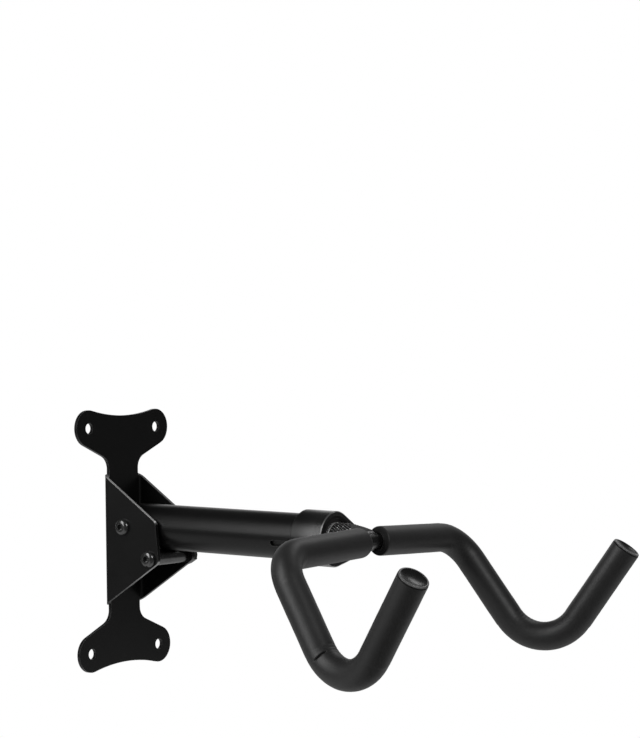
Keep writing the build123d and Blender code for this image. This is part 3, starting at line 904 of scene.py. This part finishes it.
def cap_section():
    """Chain of (height above the foam, radius), from the plug's end to the middle of the dish."""
    chain = [(-CAP_PLUG, PLUG_RADIUS - PLUG_CHAMFER), (PLUG_CHAMFER - CAP_PLUG, PLUG_RADIUS)]
    chain.append((CAP_SEAT, PLUG_RADIUS))
    chain += quarter_round(CAP_FOOT + CAP_FOOT_ROUND, CAP_RADIUS, CAP_FOOT_ROUND, pi, pi / 2)
    chain += quarter_round(CAP_FLANGE - CAP_TOP_ROUND, CAP_RADIUS, CAP_TOP_ROUND, pi / 2, 0)
    dish = CAP_RADIUS - CAP_RIM
    for k in range(LIP_STEPS + 1):
        turn = k * pi / (2 * LIP_STEPS)
        chain.append((CAP_FLANGE - CAP_LIP * (1 - cos(turn)), dish + CAP_LIP * (1 - sin(turn))))
    for k in range(1, DISH_STEPS):
        share = 1 - k / DISH_STEPS
        chain.append((CAP_FLANGE - CAP_LIP - (CAP_DISH - CAP_LIP) * (1 - share**2), dish * share))
    return chain


def end_cap(side, hand):
    """One cap, turned about the last leg of its hook."""
    line = hook_line[side]
    foot, way, _ = line.at(line.length)
    first = way.orthogonal().normalized()
    second = way.cross(first)
    shape = bmesh.new()
    rim_wear_and_highlight = shape.verts.layers.float.new("rim_wear_and_highlight")
    loops = []
    for height, radius in cap_section():
        on_rim = height > CAP_FLANGE - RIM_WEAR_AND_HIGHLIGHT and radius > CAP_RADIUS - RIM_WEAR_AND_HIGHLIGHT
        loop = []
        for k in range(CAP_SEGMENTS):
            angle = 2 * pi * k / CAP_SEGMENTS
            radial = first * cos(angle) + second * sin(angle)
            point = shape.verts.new(foot + way * height + radial * radius)
            point[rim_wear_and_highlight] = float(on_rim)
            loop.append(point)
        loops.append(loop)
    bridge(shape, loops)
    shape.faces.new(loops[0])
    shape.faces.new(loops[-1])
    bmesh.ops.recalc_face_normals(shape, faces=shape.faces)
    piece = new_piece("end_cap_moulded_" + hand, shape, cap_plastic, "yoke")
    piece.data.set_sharp_from_angle(angle=CAP_CREASE)
    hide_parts("end_cap_" + hand)
    return piece


for side, hand in ((-1, "left"), (1, "right")):
    cap = end_cap(side, hand)
    print(cap.name, len(cap.data.polygons), "faces")

# %% [markdown]
# ## Skin of the stem
#
# A diamond knurl is two families of helical grooves that cross. A texture could fake it, but the stem's
# outline is ragged and its tips glint one by one, so it is made as points: the radius at any place is the
# lower of two triangle waves. Ahead of the knurl the stem is pressed flat above and below to meet the rod,
# so its points are simply held between two sloping planes.

# %% Skin of the stem
STEM_FRONT = 232 * MM
KNURL_BACK = 205.2 * MM
KNURL_STARTS = 36
KNURL_HELIX = radians(30)
KNURL_FADES = (0.6 * MM, 1.5 * MM)     # lengths over which the grooves run out, back and front
NOSE_LENGTH = 15.0 * MM
NOSE_HALF_HEIGHT = 8.3 * MM


def triangle_wave(turns):
    """0 at each whole number and 1 half-way between them."""
    return 1 - abs(2 * (turns % 1) - 1)


def knurl_radius(angle, out):
    """Radius of the stem's skin: plain, and diamond-cut between the knurl's ends."""
    if not KNURL_BACK <= out <= KNURL_FRONT:
        return STEM_RADIUS
    shift = (out - KNURL_BACK) * tan(KNURL_HELIX) / (2 * pi * STEM_RADIUS) * KNURL_STARTS
    around = angle / (2 * pi) * KNURL_STARTS
    ridge = min(triangle_wave(around + shift), triangle_wave(around - shift))
    run_out = min(1.0, (KNURL_FRONT - out) / KNURL_FADES[1], (out - KNURL_BACK) / KNURL_FADES[0])
    return STEM_RADIUS - KNURL_DEPTH * (1 - ridge) * run_out


def nose_half_height(out):
    """Half of the stem's height at a distance along the arm: full, then sloping down to the rod."""
    share = max(0.0, 1 - (STEM_FRONT - out) / NOSE_LENGTH)
    return STEM_RADIUS + (NOSE_HALF_HEIGHT - STEM_RADIUS) * share


print(f"the knurl's diamonds are {2 * pi * STEM_RADIUS / KNURL_STARTS / MM:.2f} mm wide")

# %% [markdown]
# ## Knurled stem
#
# The stem is a thick tube, so its rings run out along the skin and back down the bore, close together only
# where the knurl needs them. A screw modifier could turn a plain section, but it would know no grooves.

# %% Knurled stem
STEM_BACK = 156 * MM
STEM_BORE = 9.5 * MM
BORE_FRONT = 222 * MM
BACK_CHAMFER = 0.8 * MM
NOSE_CHAMFER = 0.5 * MM
PLAIN_RINGS = (180 * MM, 200 * MM)
KNURL_SHOULDER = 0.2 * MM
KNURL_SAMPLES = 9              # points across one diamond
KNURL_RINGS = 44
NOSE_RINGS = 7
NOSE_STEP = 0.8 * MM


def stem_chains():
    """Two chains of (distance, radius), skin and bore; a radius of None asks for the knurl's."""
    knurl_step = (KNURL_FRONT - KNURL_BACK) / KNURL_RINGS
    outs = [STEM_BACK + BACK_CHAMFER, *PLAIN_RINGS, KNURL_BACK - KNURL_SHOULDER]
    outs += [KNURL_BACK + knurl_step * k for k in range(KNURL_RINGS + 1)]
    outs += [KNURL_FRONT + NOSE_STEP * k for k in range(1, NOSE_RINGS + 1)]
    outs.append(STEM_FRONT - NOSE_CHAMFER)
    skin_chain = [(STEM_BACK, STEM_RADIUS - BACK_CHAMFER)] + [(out, None) for out in outs]
    skin_chain.append((STEM_FRONT, STEM_RADIUS - NOSE_CHAMFER))
    return skin_chain, [(BORE_FRONT, STEM_BORE), (STEM_BACK, STEM_BORE)]


def knurled_stem():
    """The stem as rings about the arm's line: out along its skin and back down its bore."""
    count = KNURL_STARTS * KNURL_SAMPLES
    skin_chain, bore_chain = stem_chains()
    shape = bmesh.new()
    loops = []
    for out, radius in skin_chain + bore_chain:
        loop = []
        for k in range(count):
            angle = 2 * pi * k / count
            skin = radius or knurl_radius(angle, out)
            limit = nose_half_height(out)
            rise = max(-limit, min(limit, skin * sin(angle)))
            loop.append(shape.verts.new(on_arm(out, skin * cos(angle), rise)))
        loops.append(loop)
    skin_loops, bore_loops = loops[:len(skin_chain)], loops[len(skin_chain):]
    bridge(shape, skin_loops)
    bridge(shape, bore_loops)
    bridge(shape, [bore_loops[1], skin_loops[0]])
    shape.faces.new(skin_loops[-1])
    shape.faces.new(list(reversed(bore_loops[0])))
    bmesh.ops.recalc_face_normals(shape, faces=shape.faces)
    return new_piece("knurled_stem", shape, stem_steel, "yoke")


stem = knurled_stem()
print(stem.name, len(stem.data.polygons), "faces before its saddle is cut")

# %% [markdown]
# ## Saddle for the rod
#
# The rod lies two millimetres deep in the stem's end. A round seat across a round bar is awkward to draw
# point by point, so a cylinder is taken away with a boolean. The result is kept as the stem's own mesh, and
# the cutter is removed again.

# %% Saddle for the rod
ROD_RADIUS = 6 * MM
SADDLE_ROOM = 0.05 * MM        # between rod and saddle
SADDLE_LENGTH = 60 * MM
SADDLE_SEGMENTS = 96
STEM_CREASE = radians(35)


def cut_saddle(piece):
    """Takes the rod's round seat out of the stem's end."""
    radius = ROD_RADIUS + SADDLE_ROOM
    shape = bmesh.new()
    bmesh.ops.create_cone(shape, cap_ends=True, segments=SADDLE_SEGMENTS, radius1=radius, radius2=radius,
                          depth=SADDLE_LENGTH, matrix=Matrix.Rotation(pi / 2, 4, "Y"))
    cutter = mesh_object("saddle_cutter", shape)
    cutter.location = on_arm(YOKE_OUT)
    cut = piece.modifiers.new("saddle", "BOOLEAN")
    cut.operation = "DIFFERENCE"
    cut.solver = "EXACT"
    cut.object = cutter
    bpy.context.view_layer.update()
    result = bpy.data.meshes.new_from_object(piece.evaluated_get(bpy.context.evaluated_depsgraph_get()))
    piece.modifiers.clear()
    piece.data = result
    bpy.data.objects.remove(cutter)
    result.set_sharp_from_angle(angle=STEM_CREASE)


cut_saddle(stem)
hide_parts("yoke_stem")
print(stem.name, len(stem.data.polygons), "faces")

# %% [markdown]
# ## Weld beads
#
# Rod and stem are welded above and below the rod. A hand weld is a row of frozen drops: scalloped across
# its run and thinning out at both ends. A bump map would leave its outline straight, so each bead is a row
# of sections along the rod. The toe follows the edge of the stem's flat, and each ripple is bowed, as a drop
# is when it freezes from its edges.

# %% Weld beads
BEAD_HALF = 10.6 * MM          # half of its run along the rod
BEAD_TOE = 7.9 * MM            # height of its edge on the stem
BEAD_RISE = 0.8 * MM           # how far it bulges
BEAD_FADES = 3 * MM            # length over which an end thins out
BEAD_STEPS = 120
BEAD_ARC = 18
RIPPLE = 1.9 * MM
TOE_WANDER = 0.15 * MM
TOE_PATCH = 2 * MM
CROWN_PAST = 0.9 * MM          # its other edge, past the middle of the rod
ROOT_HEIGHT = 4.2 * MM
ROD_SINK = 0.5 * MM            # how deep its hidden side lies in the rod
STEM_SINK = 0.1 * MM           # and in the stem
BEAD_CREASE = radians(50)


def weld_bead(above, name):
    """One rippled bead between the stem's end and the rod: above the rod for 1, below it for -1."""
    crown = Vector((YOKE_OUT + CROWN_PAST, sqrt(ROD_RADIUS**2 - CROWN_PAST**2)))
    back = STEM_FRONT - STEM_SINK
    shape = bmesh.new()
    loops = []
    for i in range(BEAD_STEPS + 1):
        across = BEAD_HALF * (2 * i / BEAD_STEPS - 1)
        edge_up = sqrt((STEM_RADIUS - NOSE_CHAMFER) ** 2 - across * across)
        toe_up = min(BEAD_TOE, edge_up) + TOE_WANDER * noise.noise((across / TOE_PATCH, above, 0))
        toe = Vector((STEM_FRONT, toe_up))
        bulge = Vector((crown.y - toe.y, toe.x - crown.x)).normalized() * -1
        fade = min(1.0, (BEAD_HALF - abs(across)) / BEAD_FADES)
        loop = []
        for j in range(BEAD_ARC + 1):
            share = j / BEAD_ARC
            drop = across / RIPPLE + 0.5 * (2 * share - 1) ** 2
            scallop = abs(sin(pi * drop)) ** 0.6
            lift = (BEAD_RISE * sin(pi * share) * (0.75 + 0.25 * scallop)) * fade
            spot = toe.lerp(crown, share) + bulge * lift
            loop.append(shape.verts.new(on_arm(spot.x, across, above * spot.y)))
        hidden = (YOKE_OUT, ROD_RADIUS - ROD_SINK), (back, ROOT_HEIGHT), (back, toe_up)
        loop += [shape.verts.new(on_arm(out, across, above * rise)) for out, rise in hidden]
        loops.append(loop)
    bridge(shape, loops)
    shape.faces.new(loops[0])
    shape.faces.new(list(reversed(loops[-1])))
    bmesh.ops.recalc_face_normals(shape, faces=shape.faces)
    piece = new_piece(name + "_rippled", shape, rod_coat, "yoke")
    piece.data.set_sharp_from_angle(angle=BEAD_CREASE)
    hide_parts(name)
    return piece


for above, place_name in ((1, "upper"), (-1, "lower")):
    bead = weld_bead(above, "weld_bead_" + place_name)
    print(bead.name, len(bead.data.polygons), "faces")

# %% [markdown]
# ## Finishes for the pieces that stay
#
# The remaining solids already have the right form, so they keep it and only change their finish. A node's
# material slot belongs to its object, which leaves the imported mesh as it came.

# %% Finishes for the pieces that stay
FASTENERS = ("pivot_bolt", "pivot_sleeve", "pivot_washer", "pivot_nut", "stop_bolt", "stop_spacer",
             "stop_washer", "stop_nut", "clamp_bolt")
NYLON_PIECES = ("pivot_bush_left", "pivot_bush_right", "stem_liner")

kept_solids = {"hook_rod": rod_coat}
kept_solids.update({name: fastener_steel for name in FASTENERS})
kept_solids.update({name: nylon for name in NYLON_PIECES})
for name, chosen in kept_solids.items():
    for slot in nodes[name].material_slots:
        slot.link = "OBJECT"
        slot.material = chosen
print(len(kept_solids), "pieces keep their solid")

# %% [markdown]
# ## Floor
#
# The photograph is cut out on white. The floor is a pale plane well below the rack: it takes the rack's
# soft shadow and sends light up under the hooks. To the camera it is half plain white under the rack and
# wholly white further off, so that floor and backdrop meet without a line. Shiny pieces see it dim in front
# of the rack and paler behind it and towards the wall, which is what the tube's underside shows in the
# photograph.

# %% Floor
FLOOR_DROP = 0.25
FLOOR_SIZE = 14.0
FLOOR_CLOUD = 0.2
SHADOW_REACH = (0.45, 0.95)    # real floor inside, plain white outside
SEEN_NEAR = 0.5                # share of plain white under the rack
MIRRORED_DIM = 0.10            # how bright shiny pieces see the floor in front of the rack
MIRRORED_PALE = 0.48           # and behind it or on the wall's side
PALE_BEHIND = (-0.35, 0.05)    # where the pale part begins, along the line of sight
PALE_TO_WALL = (-0.15, 0.20)   # and towards the wall
MIRRORED_REACH = (0.70, 2.20)  # distance over which it fades


def make_floor():
    """A plane under the rack's middle, left out of the rack itself."""
    shape = bmesh.new()
    bmesh.ops.create_grid(shape, x_segments=1, y_segments=1, size=FLOOR_SIZE / 2)
    floor = mesh_object("floor", shape)
    floor.location = (cad_middle.x, cad_middle.y, cad_box[0].z - FLOOR_DROP)
    floor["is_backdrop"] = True
    return floor


def ray(paint, kind):
    """1 for rays of one kind and 0 for all others."""
    return paint.node("ShaderNodeLightPath", out=f"Is {kind} Ray")


def pale_floor(owner):
    """Pale and dull, and plain white to the camera away from the rack."""
    paint = Paint(owner)
    away = paint.node("ShaderNodeVectorMath", {"operation": "LENGTH"}, {0: place(paint)}, "Value")
    clouds = grain(paint, FLOOR_CLOUD)
    tone = blend(paint, clouds, grey(0.86), grey(0.90))
    dull = paint.node("ShaderNodeBsdfPrincipled", {}, {"Base Color": tone, "Roughness": 0.8})
    seen = ray(paint, "Camera")
    mirrored = ray(paint, "Glossy")
    front = 1 - step(paint, dot(paint, place(paint), tuple(ahead)), *PALE_BEHIND)
    front = front * (1 - step(paint, dot(paint, place(paint), (0, 1, 0)), *PALE_TO_WALL))
    near = 1 - step(paint, away, *MIRRORED_REACH)
    pale = MIRRORED_DIM + (1 - front) * near * (MIRRORED_PALE - MIRRORED_DIM)
    glow = blend(paint, seen, blend(paint, pale, grey(0), grey(1)), grey(1))
    plain = paint.node("ShaderNodeEmission", {}, {"Color": glow, "Strength": 1.0})
    share = seen * (SEEN_NEAR + step(paint, away, *SHADOW_REACH) * (1 - SEEN_NEAR)) + mirrored
    mixed = paint.node("ShaderNodeMixShader", {}, {0: share, 1: dull, 2: plain})
    paint.node("ShaderNodeOutputMaterial", {}, {"Surface": mixed})


floor = make_floor()
floor.data.materials.append(bpy.data.materials.new("pale_floor"))
pale_floor(floor.data.materials[0])
print(f"floor at z = {floor.location.z:.3f} m")

# %% [markdown]
# ## Studio light
#
# The photograph's light can be read on tube, hooks and caps: a tall soft key far to the left, a small lamp
# high on the right, and one above and behind that shows in the dishes of the caps. The camera sees plain
# white behind the rack. Shiny surfaces see a dim room, brighter only where they look towards the white
# backdrop, and everything else gets an even, plain level. Each lamp is placed by its turn to the left of
# the camera and its rise, because those are the angles that a reflection gives away.

# %% Studio light
AMBIENT = 0.08
ROOM = 0.06
BACKDROP = 0.80
BACKDROP_TURN = (0.45, 0.90)   # how far towards the backdrop a mirrored ray must point
BACKDROP_TOP = (0.30, 0.60)    # height at which the backdrop ends, as the sine of the angle
LAMP_AWAY = 1.6


def studio_world():
    """White to the camera, dim to reflections, and an even level to the rest."""
    world = bpy.data.worlds.new("studio")
    bpy.context.scene.world = world
    world.cycles.sampling_method = "NONE"
    paint = Paint(world)
    direction = paint.node("ShaderNodeTexCoord", out="Generated")
    towards = step(paint, dot(paint, direction, tuple(ahead)), *BACKDROP_TURN)
    below_top = 1 - step(paint, dot(paint, direction, (0, 0, 1)), *BACKDROP_TOP)
    mirrored = paint.node("ShaderNodeMath", {"operation": "MAXIMUM"},
                          {0: ray(paint, "Glossy"), 1: ray(paint, "Transmission")})
    shown = ROOM + towards * below_top * (BACKDROP - ROOM)
    light = AMBIENT + mirrored * (shown - AMBIENT)
    strength = light + ray(paint, "Camera") * (1 - light)
    background = paint.node("ShaderNodeBackground", {}, {"Color": grey(1), "Strength": strength})
    paint.node("ShaderNodeOutputWorld", {}, {"Surface": background})


def softbox(name, turn, rise, width, height, power):
    """A rectangle of even light that faces the rack's middle, placed by angles from the camera's side."""
    light = bpy.data.lights.new(name, "AREA")
    light.shape = "RECTANGLE"
    light.size = width
    light.size_y = height
    light.energy = power
    lamp = add_object(name, light)
    flat = -ahead * cos(radians(turn)) - view_right * sin(radians(turn))
    way = flat * cos(radians(rise)) + Vector((0, 0, sin(radians(rise))))
    lamp.location = cad_middle + way * LAMP_AWAY
    lamp.rotation_euler = (-way).to_track_quat("-Z", "Y").to_euler()
    return lamp


studio_world()
lamps = [
    softbox("left_key", turn=61, rise=28, width=0.78, height=1.4, power=11.6),
    softbox("upper_right", turn=-36, rise=30, width=0.5, height=0.5, power=5),
    softbox("back_top", turn=-142, rise=49, width=0.7, height=0.40, power=2.4),
]
print("lamps:", ", ".join(lamp.name for lamp in lamps))

# %% [markdown]
#
# Dressing must not resize the rack. The box of the imported solids is compared with the box of what is shown
# now, and the largest move of a side is printed.

shown_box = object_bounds()
changes = [abs(a - b) for before, after in zip(cad_box, shown_box) for a, b in zip(before, after)]
print(f"the box's sides moved by {max(changes) / MM:.2f} mm at most")
